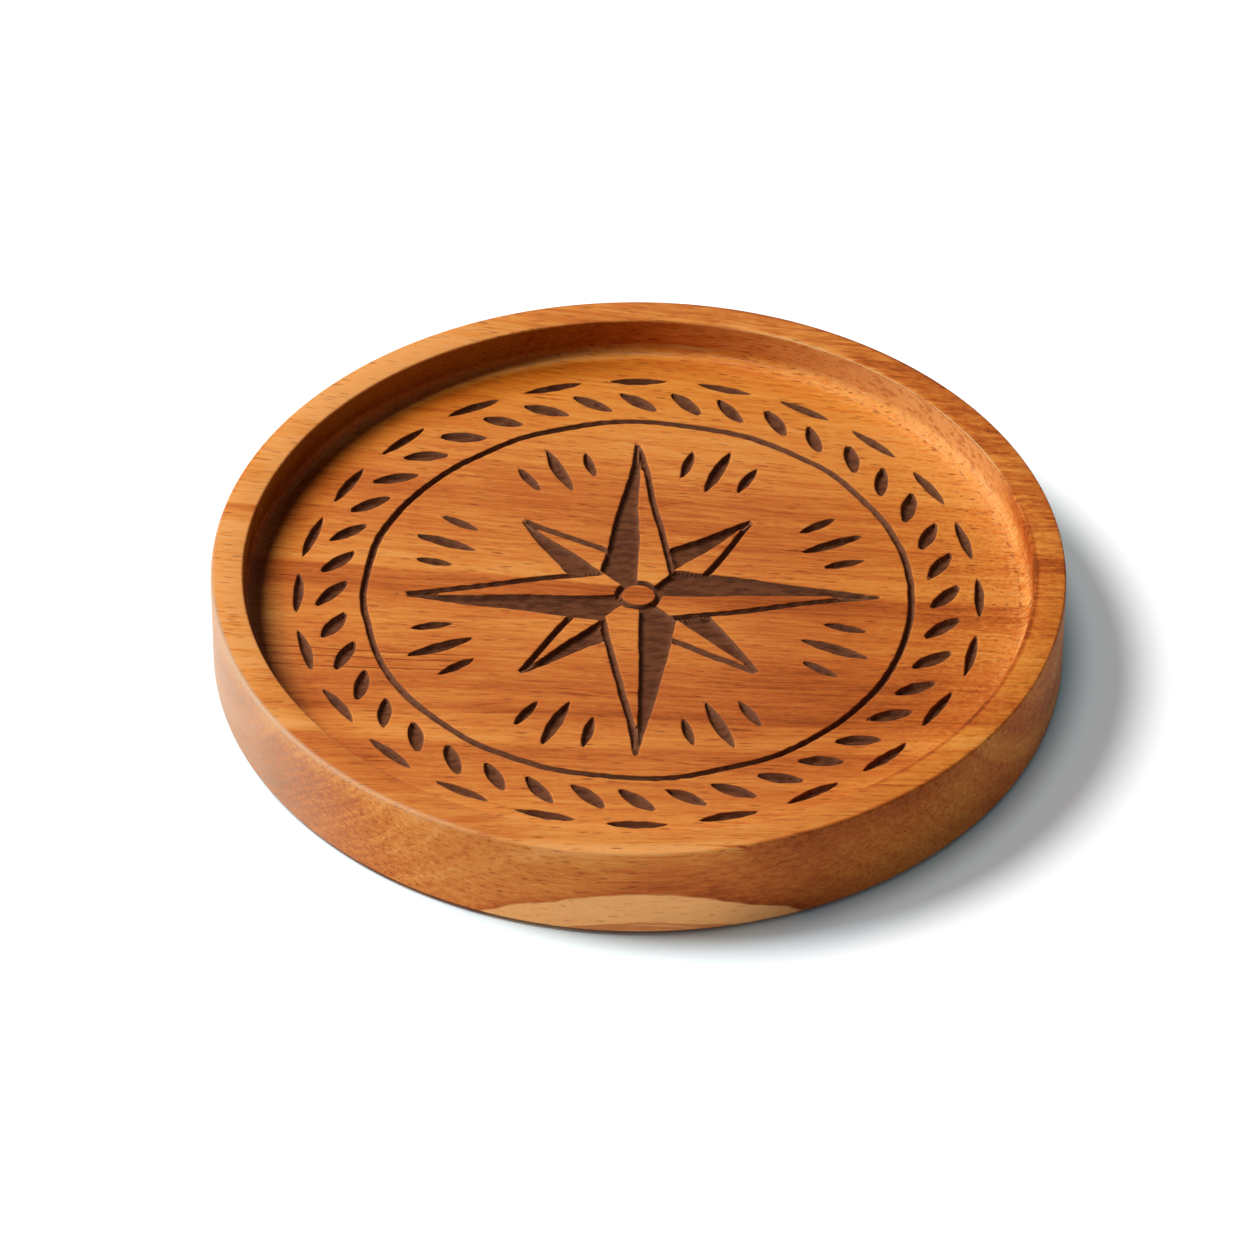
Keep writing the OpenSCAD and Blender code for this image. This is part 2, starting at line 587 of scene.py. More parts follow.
def turned(section: Array, columns: int) -> Array:
    """Grid of a half section turned round Z.

    Args:
        section: Radius and height of each row.
        columns: Number of steps round the axis.

    Returns:
        Points as rows by columns by 3, with the last column on the first.
    """
    angle = np.linspace(0.0, 2 * np.pi, columns + 1)
    radius, height = section[:, :1], section[:, 1:]
    return np.stack([radius * np.cos(angle), radius * np.sin(angle), height + 0 * angle], axis=-1)


def in_scene(name: str, data: bpy.types.ID) -> bpy.types.Object:
    """Makes an object from its data and puts it into the scene.

    Args:
        name: Name of the object.
        data: Its mesh, light or camera.

    Returns:
        The new object.
    """
    made = bpy.data.objects.new(name, data)
    bpy.context.scene.collection.objects.link(made)
    return made


def make_piece(
    name: str, grids: Sequence[Array], sharp: float, fold: Array | None = None
) -> bpy.types.Object:
    """Makes one closed piece from grids of points that meet at their edges.

    Args:
        name: Name of the piece.
        grids: Surfaces, each rows by columns by 3.
        sharp: Angle in degrees past which an edge is shaded as an edge.
        fold: Whether each cell of the first grid is folded from its first corner.
            With it, that grid is made of triangles.

    Returns:
        The new object, at the origin.
    """
    points = []
    faces = []
    total = 0
    for number, grid in enumerate(grids):
        rows, columns = grid.shape[:2]
        index = total + np.arange(rows * columns).reshape(rows, columns)
        a, b, c, d = index[:-1, :-1], index[:-1, 1:], index[1:, 1:], index[1:, :-1]
        if fold is not None and number == 0:
            first = np.where(fold, (a, b, c), (a, b, d))
            second = np.where(fold, (a, c, d), (b, c, d))
            faces += np.concatenate([first, second], axis=1).reshape(3, -1).T.tolist()
        else:
            faces += np.stack([a, b, c, d], axis=-1).reshape(-1, 4).tolist()
        points.append(grid.reshape(-1, 3))
        total += rows * columns
    mesh = bpy.data.meshes.new(name)
    mesh.from_pydata(np.concatenate(points), [], faces)
    work = bmesh.new()
    work.from_mesh(mesh)
    bmesh.ops.remove_doubles(work, verts=work.verts, dist=WELD_REACH)
    bmesh.ops.dissolve_degenerate(work, edges=work.edges, dist=SHORTEST_EDGE)
    bmesh.ops.recalc_face_normals(work, faces=work.faces)
    work.to_mesh(mesh)
    work.free()
    mesh.shade_smooth()
    mesh.set_sharp_from_angle(angle=np.radians(sharp))
    return in_scene(name, mesh)


@dataclass(frozen=True)
class Spot:
    """The measures of a point in the wood, all in millimetres.

    They are the base of every mask and noise. up is the height above the recess
    floor, down the depth below the rim, and past the distance outside the recess
    wall. across runs across the grain, behind is the same from the trunk's axis,
    and ring is the radius of the growth ring.
    """

    graph: Graph
    x: Signal
    y: Signal
    z: Signal
    up: Signal
    down: Signal
    radius: Signal
    past: Signal
    across: Signal
    behind: Signal
    ring: Signal

    def at(self, **spans: tuple[float, ...]) -> Signal:
        """Mask of a place, from 0 to 1: the product of a band for each named measure."""
        return reduce(mul, (getattr(self, name).band(*span) for name, span in spans.items()))

    def stretched(self, along: float, across: float) -> tuple[Signal, Signal, Signal]:
        """Coordinates with one rate along the grain and another across it."""
        return self.x * along, self.across * across, self.z * across

    def noise(self, along: float, across: float, detail: float = 2.0, roughness: float = 0.5) -> Signal:
        """Noise with one rate along the grain and another across it."""
        return self.graph.noise(self.stretched(along, across), detail, roughness)


@dataclass(frozen=True)
class WoodFinish:
    """Oiled reddish hardwood sawn near the heart, with charred engraving.

    The trunk's axis runs nearly along X, above the board, so the growth rings are
    circles round it. Every layer is worked out in space, so bands, fibres and pores
    run on from floor to wall to side. Lengths here are in millimetres.
    """

    floor_z: float
    recess_r: float
    rim_z: float
    blond: Colour = (0.86, 0.37, 0.11)
    orange: Colour = (0.78, 0.284, 0.058)
    amber: Colour = (0.62, 0.173, 0.035)
    russet: Colour = (0.48, 0.112, 0.022)
    umber: Colour = (0.3, 0.065, 0.013)
    shade_stops: tuple[float, ...] = (0.0, 0.25, 0.55, 0.8, 1.0)
    sapwood: Colour = (0.93, 0.46, 0.165)
    sap_streak: Colour = (0.6, 0.2, 0.06)
    # Colour of the turned tool lines in the cove, also used for a painted highlight line on the lip.
    tool_line_and_lip_highlight: Colour = (0.9, 0.55, 0.26)
    # Pale colour painted on the recess wall at the back right as a sheen.
    painted_wall_sheen: Colour = (0.98, 0.52, 0.22)
    # Pale colour painted as sheen and highlight on the left side.
    painted_side_sheen: Colour = (0.65, 0.41, 0.26)
    straw: Colour = (0.83, 0.5, 0.18)
    pore: Colour = (0.34, 0.08, 0.018)
    char: Colour = (0.15, 0.051, 0.021)
    char_dark: Colour = (0.085, 0.026, 0.011)
    char_pale: Colour = (0.27, 0.11, 0.055)
    heart_y: float = -11.0
    heart_z: float = 23.4
    grain_slope: float = 0.085
    slope_gain: float = 0.0019
    sap_ring: float = 42.15
    sap_streak_ring: float = 44.3
    first_ring: float = 10.0
    last_ring: float = 60.0
    front_bands: Stops = (
        (14, 0.45), (16.6, 0.7), (18.7, 0.7), (20.5, 0.35), (22, 0.35), (22.8, 0.62), (27.5, 0.62),
        (32.5, 0.42), (36, 0.36), (40, 0.4), (41.2, 0.48), (41.6, 0.62), (42, 0.7),
    )
    back_bands: Stops = (
        (14, 0.45), (17.3, 0.45), (18.2, 0.72), (19.9, 0.82), (20.3, 0.32), (22, 0.35), (24.5, 0.5),
        (33.5, 0.58), (37, 0.4), (41.5, 0.34), (44.5, 0.3), (49, 0.22), (53, 0.24), (58, 0.42),
    )
    # Dark tint of the painted shade on the floor by the back left wall.
    back_floor_shade_tint: Colour = (0.62, 0.5, 0.25)
    # Dark tint of the painted shade on the back left wall.
    wall_shade_tint: Colour = (0.58, 0.66, 0.4)
    # Warm tint; at the right it also stands in part for painted shade.
    warm_tint: Colour = (0.96, 0.88, 0.62)
    # Dark tint of the painted shade on the side at the right front.
    side_shade_tint: Colour = (0.66, 0.65, 0.7)
    # Cool grey tint of the painted shade on the floor by the left wall.
    left_floor_shade_tint: Colour = (0.72, 0.82, 0.9)
    roughness: float = 0.42
    specular: float = 0.05
    floor_only: tuple[float, float] = (1.5, 0.6)
    side_only: tuple[float, float] = (49.5, 49.9)

    @property
    def on_rim(self) -> tuple[float, float]:
        """Span of heights from the floor's wood to the rim's."""
        return self.floor_z + 1.0, self.rim_z - 0.5

    def build(self) -> bpy.types.Material:
        """Makes the material.

        Returns:
            The wood, for the board.
        """
        g = Graph(bpy.data.materials.new("oiled_hardwood"))
        p = self._spot(g)
        fibre = p.noise(0.12, 2, 4, 0.7)
        speck = p.noise(1.1, 3.2, 3, 0.65)
        figure = p.noise(1.3, 1.9, 3, 0.6)
        layers = g.noise((p.x * 0.03, p.ring * 1.8, p.across * 0.1), 4, 0.65)
        left_side = p.at(radius=(49.3, 49.9), x=(-12, -32))
        tone = self._tone(p) + 1.25 * (fibre - 0.5) + 0.5 * (speck - 0.5)
        tone += 0.9 * (figure - 0.5) * (p.at(x=(20, 42)) + left_side)
        # The last term paints light and shade into the tone of the side, wall, cove and front edge.
        tone += 1.1 * (layers - 0.5) * left_side + self._curl(p) + self._painted_light_and_shade_tone(p)
        shades = self.blond, self.orange, self.amber, self.russet, self.umber
        colour = g.ramp(tone, 0.0, 1.0, tuple(zip(self.shade_stops, shades)))
        # The wall mask is a painted sheen on the back right wall, which also hides the pores there.
        painted_wall_sheen, sap, torn = self._painted_wall_sheen(p), self._sap(p), self._torn(p)
        pores = self._pores(p) * (1.0 - 0.7 * painted_wall_sheen)
        colour = g.blend(pores * 0.8, colour, self.pore)
        pale = g.blend(pores * 0.7, self._sap_colour(p), self.sap_streak)
        colour = g.shade(g.blend(sap, colour, pale), 0.75 + 0.25 * fibre + 0.25 * speck)
        slant = g.noise(((p.x + p.y) * 0.16, (p.x - p.y) * 0.5, p.z * 1.6 + p.x * 0.3), 4, 0.65)
        rough = g.noise((p.x * 1.1, p.y * 1.9, p.z * 1.9), 4, 0.7)
        for amount, over in (
            # Painted sheen on the back right wall, with russet grain streaks over it.
            (painted_wall_sheen * 0.85, self.painted_wall_sheen),
            (painted_wall_sheen * slant.step(0.48, 0.62) * 0.6, self.russet),
            (torn * rough.step(0.5, 0.62) * 0.6, self.straw),
            (torn * rough.step(0.44, 0.36) * 0.6, self.amber),
            (self._pits(p) * 0.7, self.pore),
            # Painted sheen on the left side and a painted highlight on its top edge.
            (self._painted_side_sheen(p) * 0.8 * (figure + layers), self.painted_side_sheen),
        ):
            colour = g.blend(amount, colour, over)
        for coats, tint in (
            # Painted shade on the floor by the back left wall.
            (self._painted_floor_shade_by_back_wall(p), self.back_floor_shade_tint),
            # Warm tint, at the right partly painted shade.
            (self._warmth(p), self.warm_tint),
            # Painted shade on the side at the right front, most near the foot.
            (self._painted_side_shade(p), self.side_shade_tint),
            # Painted shade on the floor by the left wall.
            (self._painted_shade_by_left_wall(p), self.left_floor_shade_tint),
            # Painted shade on the back left wall.
            (self._painted_wall_shade(p), self.wall_shade_tint),
        ):
            colour = g.stain(colour, tint, coats)
        # Turned tool lines in the cove, and a painted highlight line on the lip.
        tooled_and_highlit = self._tool_line_and_lip_highlights(p)
        colour = g.blend(tooled_and_highlit * 0.4, colour, self.tool_line_and_lip_highlight)
        cut = g.node("ShaderNodeAttribute", {"attribute_name": CUT_NAME}, output="Fac")
        inside = cut.step(0.005, -0.05)
        mottle = g.noise((p.x * 0.5, p.y * 1.6, p.z * 1.6), 3, 0.55)
        charred = g.blend(mottle.step(0.36, 0.6), self.char_dark, self.char)
        charred = g.blend(cut.step(-0.32, -0.02) * 0.7, charred, self.char_pale)
        height = 0.012 * fibre + 0.012 * speck - 0.05 * pores * (1.0 - 0.6 * sap) + 0.015 * tooled_and_highlit
        height += 0.06 * cut.step(-0.08, 0.16) + 0.03 * mottle * inside
        roughness = self.roughness + 0.16 * (speck - 0.5) + 0.2 * inside
        return g.principled(g.blend(inside, colour, charred), roughness, g.bump(height, 1.0), self.specular)

    def _spot(self, g: Graph) -> Spot:
        """Measures a point in the wood.

        The grain slopes to the right and is level at the front, and wanders a little.

        Args:
            g: The wood's nodes.

        Returns:
            The measures.
        """
        x, y, z = g.place_mm()
        wander = g.noise((x * 0.02, y * 0.07, z * 0.07), 1)
        ripple = g.noise((x * 0.09, y * 0.45, z * 0.45))
        sloped = y + x * (self.grain_slope + self.slope_gain * y)
        across = sloped + 2.2 * (wander - 0.5) + 0.7 * (ripple - 0.5)
        radius = x.length_with(y)
        behind = across - self.heart_y
        ring = behind.length_with(z - self.heart_z)
        up, down, past = z - self.floor_z, self.rim_z - z, radius - self.recess_r
        return Spot(g, x, y, z, up, down, radius, past, across, behind, ring)

    def _tone(self, p: Spot) -> Signal:
        """Darkness of the wood, from bands, streaks and fine dark lines.

        Args:
            p: Measures of the point.

        Returns:
            A number from 0 to 1.
        """
        front, back = (p.graph.ramp(p.ring, self.first_ring, self.last_ring, bands)
                       for bands in (self.front_bands, self.back_bands))
        behind = p.at(behind=(-3, 3))
        streak = p.graph.noise((p.x * 0.022, p.ring * 0.9, p.across * 0.12), 4, 0.6)
        patchy = p.noise(0.04, 0.2, 1)
        line = abs(p.noise(0.03, 0.75) - 0.5).step(0.014, 0) * patchy.step(0.46, 0.56)
        figure = 0.55 * (streak - 0.5) + 0.3 * (p.noise(0.04, 0.09) - 0.5) + 0.3 * line
        level = p.at(z=self.on_rim)
        by_place = level * self._rim_tone(p, behind) + (1.0 - level) * self._floor_tone(p)
        return front + behind * (back - front) + figure + by_place

    def _rim_tone(self, p: Spot, behind: Signal) -> Signal:
        """Shift of the tone on the rim and the side, by place.

        Args:
            p: Measures of the point.
            behind: 1 behind the heart, and 0 in front of it.

        Returns:
            The shift, above 0 where it's darker.
        """
        # Lighter to the left and darker to the right: partly the wood's own tone, partly painted light on
        # the lamp's side and painted shade away from it.
        right = (p.x + abs(p.x)) * 0.5
        shift = (p.x - right) * 0.0085 + right * (behind - 1.0) * 0.003
        shift += 0.33 * p.at(x=(5, 30), ring=(38, 41, 53, 57))
        at_back = 0.06 * p.at(ring=(43, 48)) - 0.12 * p.at(x=(-45.5, -42, -32, -18))
        at_back += 0.12 * p.at(x=(-43, -46), across=(2, 7))
        in_front = 0.28 * p.at(behind=(-12, -22), x=(-46, -36, -20, -8), radius=(49.9, 49.5))
        in_front -= 0.12 * p.at(behind=(-12, -22), x=(22, 34, 42, 47))
        in_front -= 0.34 * p.at(ring=(39, 39.3, 40.6, 41), x=(40, 20))
        return shift + behind * at_back + (1.0 - behind) * in_front

    def _floor_tone(self, p: Spot) -> Signal:
        """Shift of the tone on the floor, by place: blond at the left front, and lighter by the right wall,
        where light from the lit wall is painted on.

        Args:
            p: Measures of the point.

        Returns:
            The shift, above 0 where it's darker.
        """
        from_left = 0.12 * p.at(x=(4, 24)) - 0.14 * p.at(x=(-4, -30))
        shift = p.at(behind=(-21, -15, -3, 2)) * from_left
        shift -= 0.15 * p.at(behind=(-17, -22)) + 0.08 * p.at(x=(14, 34))
        shift += 0.12 * p.at(behind=(-6, 0, 20, 26), x=(5, 18))
        shift += 0.08 * p.at(behind=(-17, -13, -11, -8), x=(-22, -10, 10, 24))
        # Painted light on the floor by the right wall, thrown there from the lit wall.
        shift -= 0.17 * p.at(radius=(36, 42), x=(20, 34))
        shift += 0.2 * p.at(radius=(38, 43), x=(-22, -32), y=(-8, -20))
        vessels = abs(abs(p.across + 12.85) - 0.55).step(0.15, 0.05) + abs(p.across + 15).step(0.15, 0.05)
        return shift + 0.45 * vessels * p.at(x=(-17, -25)) + 0.06 * p.at(y=(27, 38))

    def _curl(self, p: Spot) -> Signal:
        """Curly figure of the rim, wall and cove at the right."""
        curl = p.noise(0.28, 1.3, 3, 0.6)
        return 1.3 * (curl - 0.5) * p.at(x=(-8, 14), y=(-16, 14), radius=(43.8, 44.8))

    def _painted_light_and_shade_tone(self, p: Spot) -> Signal:
        """Shift of the tone that paints light and shade on the side, wall and cove: the side a little
        browner all round and painted darker at the right, away from the lamp, painted shade on the cove at
        the right, and painted highlights on the wall foot at the back right, on the cove at the right and
        at the back, and along the front top edge.

        Args:
            p: Measures of the point.

        Returns:
            The shift, above 0 where it's darker.
        """
        # Side: a little browner all round, and painted shade at the right, away from the lamp.
        side = (0.06 + 0.34 * p.at(x=(-14, 16, 28, 42))) * p.at(radius=(49.3, 49.9))
        # right is painted shade on the cove at the right; back_right and low are painted highlights on the
        # wall foot and the cove.
        right = p.at(up=(0.15, 0.6), radius=(45, 45.6), x=(20, 36), y=(16, 4))
        back_right = p.at(up=(0.8, 1.6), radius=(45.7, 46.1), x=(0, 14), y=(20, 34))
        low = p.at(up=(2.8, 0.8), radius=(43.6, 45.4), x=(5, 25)) * (0.3 + 0.7 * p.at(y=(6, 20)))
        wall = p.at(radius=(47, 46.6)) * (0.4 * right - 0.3 * back_right - 0.35 * low)
        # Painted highlight along the rim's top edge at the front.
        front_edge_highlight = p.at(radius=(48, 48.6), down=(0.5, 0.25), y=(-46.5, -48.5))
        return side + wall - 0.24 * front_edge_highlight - 0.35 * self._painted_light_back_cove(p) * p.at(x=(10, -6))

    def _painted_light_back_cove(self, p: Spot) -> Signal:
        """Share of the cove at the back where painted light replaces the painted shade: it's left out of
        that shade and given a paler tone.
        """
        return p.at(up=self.floor_only, radius=(43.6, 45, 46.5, 47), y=(14, 30))

    def _painted_wall_sheen(self, p: Spot) -> Signal:
        """Share of the painted sheen: a pale colour painted on the recess wall at the back right, where the
        light catches it.
        """
        return p.at(radius=(45.7, 46.1, 46.6, 47), down=(0.1, 0.35), x=(16, 34), y=(10, 24))

    def _torn(self, p: Spot) -> Signal:
        """Rough grain, torn by the cutter: the cove and the floor beside it, at the right.

        Args:
            p: Measures of the point.

        Returns:
            Its share, from 0 to 1.
        """
        wander = p.graph.noise((p.x * 0.35, p.y * 0.35, 1))
        inner = (p.radius + 4 * (wander - 0.5)).step(42.5, 44.5)
        return inner * p.at(up=(2, 1), x=(10, 24), y=(-26, -12))

    def _painted_side_sheen(self, p: Spot) -> Signal:
        """Painted sheen and highlight: a pale colour on the outer side at the left, where light grazes it,
        and a painted highlight line along its top edge at the left front.

        Args:
            p: Measures of the point.

        Returns:
            Its share, from 0 to 1.
        """
        # side is painted sheen, edge a painted highlight line.
        side = p.at(radius=self.side_only, x=(-27, -52), y=(16, -4))
        edge = p.at(radius=(49.35, 49.6), down=(0.65, 0.3), x=(-12, -28), y=(2, -12))
        return side + 0.5 * edge

    def _sap(self, p: Spot) -> Signal:
        """Share of sapwood: the rings outside one ring, at the front only."""
        outside = p.ring + 0.5 * (p.noise(0.12, 0.6) - 0.5) - self.sap_ring
        return outside.step(-0.1, 0.1) * p.at(behind=(0, -4))

    def _sap_colour(self, p: Spot) -> Signal:
        """Pale sapwood with a reddish streak further out.

        Args:
            p: Measures of the point.

        Returns:
            The colour.
        """
        streak = p.graph.noise((p.x * 0.05, p.ring * 2.2, p.z * 0.3), 3)
        place = p.ring + 1.2 * (streak - 0.5) - self.sap_streak_ring
        share = place.step(-0.1, 0.1) * (1 - 0.6 * place.band(0.35, 0.45, 0.6, 0.75))
        return p.graph.blend(share * 0.85, self.sapwood, self.sap_streak)

    def _painted_floor_shade_by_back_wall(self, p: Spot) -> Signal:
        """Painted shade: coats of a dark tint on the floor by the back left wall, where the wall's shadow
        falls.

        Args:
            p: Measures of the point.

        Returns:
            The number of coats.
        """
        coats = 1 + 0.7 * p.at(x=(3, -9), y=(30, 42)) - 0.6 * p.at(x=(-40, -45))
        by_wall = p.at(up=self.floor_only, radius=(38.5, 45, 46.5, 47), x=(18, -14), y=(-12, 10))
        # The cove at the back gets painted light instead of this painted shade.
        return coats * by_wall * (1.0 - 0.9 * self._painted_light_back_cove(p))

    def _warmth(self, p: Spot) -> Signal:
        """Coats of a warm tint on the rim at the right front, and on the floor at the right and back; at
        the right it also stands in part for painted shade by the right wall.

        Args:
            p: Measures of the point.

        Returns:
            The number of coats.
        """
        on_rim = p.at(z=self.on_rim, x=(20, 36), y=(16, -6))
        on_floor = p.at(up=self.floor_only, y=(27, 38))
        return 0.4 * on_rim + 0.6 * p.at(x=(10, 36)) + 0.9 * on_floor

    def _painted_side_shade(self, p: Spot) -> Signal:
        """Painted shade: coats of a dark tint on the outer side at its right front, away from the lamp,
        most near the foot.
        """
        side = p.at(radius=self.side_only, x=(6, 22, 35, 45))
        return side * (0.9 + 0.5 * p.at(z=(6, 2)))

    def _painted_shade_by_left_wall(self, p: Spot) -> Signal:
        """Painted shade: coats of a cool grey tint on the floor by the left wall, where the wall's shadow
        falls.
        """
        return p.at(radius=(39, 44, 45.6, 46.4), x=(-34, -43), y=(-26, -14, -6, 8))

    def _painted_wall_shade(self, p: Spot) -> Signal:
        """Painted shade: coats of a dark tint on the wall at the back left, which is in shade."""
        wall = p.at(radius=(45.6, 46.1, 46.6, 47), up=(0.5, 1.4), down=(0.1, 0.4))
        return wall * p.at(x=(8, -18), y=(-14, 10)) * (1 + 0.4 * p.at(x=(-25, -42)))

    def _pores(self, p: Spot) -> Signal:
        """Open pores: fine and coarse dashes along the grain, and dots where it dips at the right.

        Args:
            p: Measures of the point.

        Returns:
            Their share, 0 between them.
        """
        near, chance = p.graph.cells(p.stretched(0.36, 2.6))
        fine = near.step(0.38, 0.12) * chance.step(0.2, 0.7)
        beside, luck = p.graph.cells(p.stretched(0.26, 1.7))
        luck += 0.9 * (p.noise(0.05, 0.22, 1) - 0.5) + 0.2 * p.at(down=(0.3, 0.1), x=(10, -30))
        coarse = beside.step(0.26, 0.1) * luck.step(0.5, 0.62)
        close, odds = p.graph.cells(p.stretched(0.85, 1.7))
        dots = close.step(0.27, 0.12) * odds.step(0.35, 0.6)
        return fine * 0.65 + coarse * 0.9 + dots * p.at(x=(26, 41), up=(1.5, 0.3))

    def _pits(self, p: Spot) -> Signal:
        """Torn grain: a broken line of pits round the foot of the cove, at the right and back right.

        Args:
            p: Measures of the point.

        Returns:
            Their share, from 0 to 1.
        """
        torn = p.graph.noise((p.x, p.y, 3), 3, 0.6)
        foot = abs(p.past + 0.5 * (torn - 0.5) + 1.35).step(0.26, 0.1)
        return torn.step(0.5, 0.6) * foot * p.at(x=(6, 18), y=(-24, -6))

    def _tool_line_and_lip_highlights(self, p: Spot) -> Signal:
        """Thin turned lines round the cove, and a painted highlight line round the lip at the right, both
        broken in places.

        Args:
            p: Measures of the point.

        Returns:
            Their strength, 0 between them.
        """
        wave = p.graph.noise((p.x * 0.12, p.y * 0.12, (p.radius + p.z) * 5.5), 3, 0.7)
        cove = p.at(past=(-2.2, -1, 0.3, 0.6), up=(1.6, 0.5))
        cove *= 1 - 0.6 * p.at(x=(30, 40), y=(18, 6))
        # Painted highlight line along the lip at the right.
        lip = 1.7 * p.at(past=(0.26, 0.18), down=(0.16, 0.08), x=(6, 22), y=(6, 22))
        return wave.step(0.5, 0.62) * cove + wave.step(0.36, 0.5) * lip


@dataclass(frozen=True)
class RubberFinish:
    """Matt soft rubber with a fine pebbled skin."""

    colour: Colour = (0.03, 0.027, 0.025)
    dust: Colour = (0.075, 0.068, 0.06)
    roughness: float = 0.75
    specular: float = 0.35

    def build(self) -> bpy.types.Material:
        """Makes the material.

        Returns:
            The rubber, for the pads.
        """
        g = Graph(bpy.data.materials.new("matt_rubber"))
        x, y, z = g.place_mm()
        pebble, _ = g.cells((x * 4.0, y * 4.0, z * 4.0))
        smear = g.noise((x * 0.5, y * 0.5, z * 0.5), 3.0)
        colour = g.blend(smear.step(0.45, 0.8) * 0.6, self.colour, self.dust)
        roughness = self.roughness + 0.1 * (smear - 0.5)
        return g.principled(colour, roughness, g.bump(0.03 * pebble, 0.6), self.specular)


@dataclass(frozen=True)
class TableFinish:
    """White table whose lit parts are seen as white, and whose shadows stay.

    The glow is only seen, and lights nothing. It fades and turns cooler right at
    the foot of the board, and the warm light that the wood throws on the table
    beside it is made neutral.
    """

    albedo: float = 0.8
    seen: Colour = (1.0, 1.03, 1.06)
    glow: float = 0.3
    contact_reach: float = 4 * MM
    contact_colour: Colour = (0.6, 0.9, 1.0)
    beside_reach: float = 12 * MM
    beside_tint: Colour = (0.85, 1.0, 1.06)

    def build(self) -> bpy.types.Material:
        """Makes the material.

        Returns:
            The white of the table.
        """
        g = Graph(bpy.data.materials.new("white_table"))
        direct = g.seen_directly()
        near, wide = (g.node("ShaderNodeAmbientOcclusion", inputs={"Distance": reach}, output="AO")
                      for reach in (self.contact_reach, self.beside_reach))
        beside = wide.step(0.98, 0.62)
        tone = g.blend(direct, (self.albedo,) * 3, g.stain(self.seen, self.beside_tint, beside))
        matt = g.node("ShaderNodeBsdfDiffuse", inputs={"Color": tone})
        shine = g.blend(near.step(0.3, 0.95), self.contact_colour, (1.0, 1.0, 1.0))
        shine = g.shade(g.stain(shine, self.beside_tint, beside), near.power(2.0) * direct)
        glow = g.node("ShaderNodeEmission", inputs={"Color": shine, "Strength": self.glow})
        return g.finish(g.node("ShaderNodeAddShader", inputs={0: matt, 1: glow}))


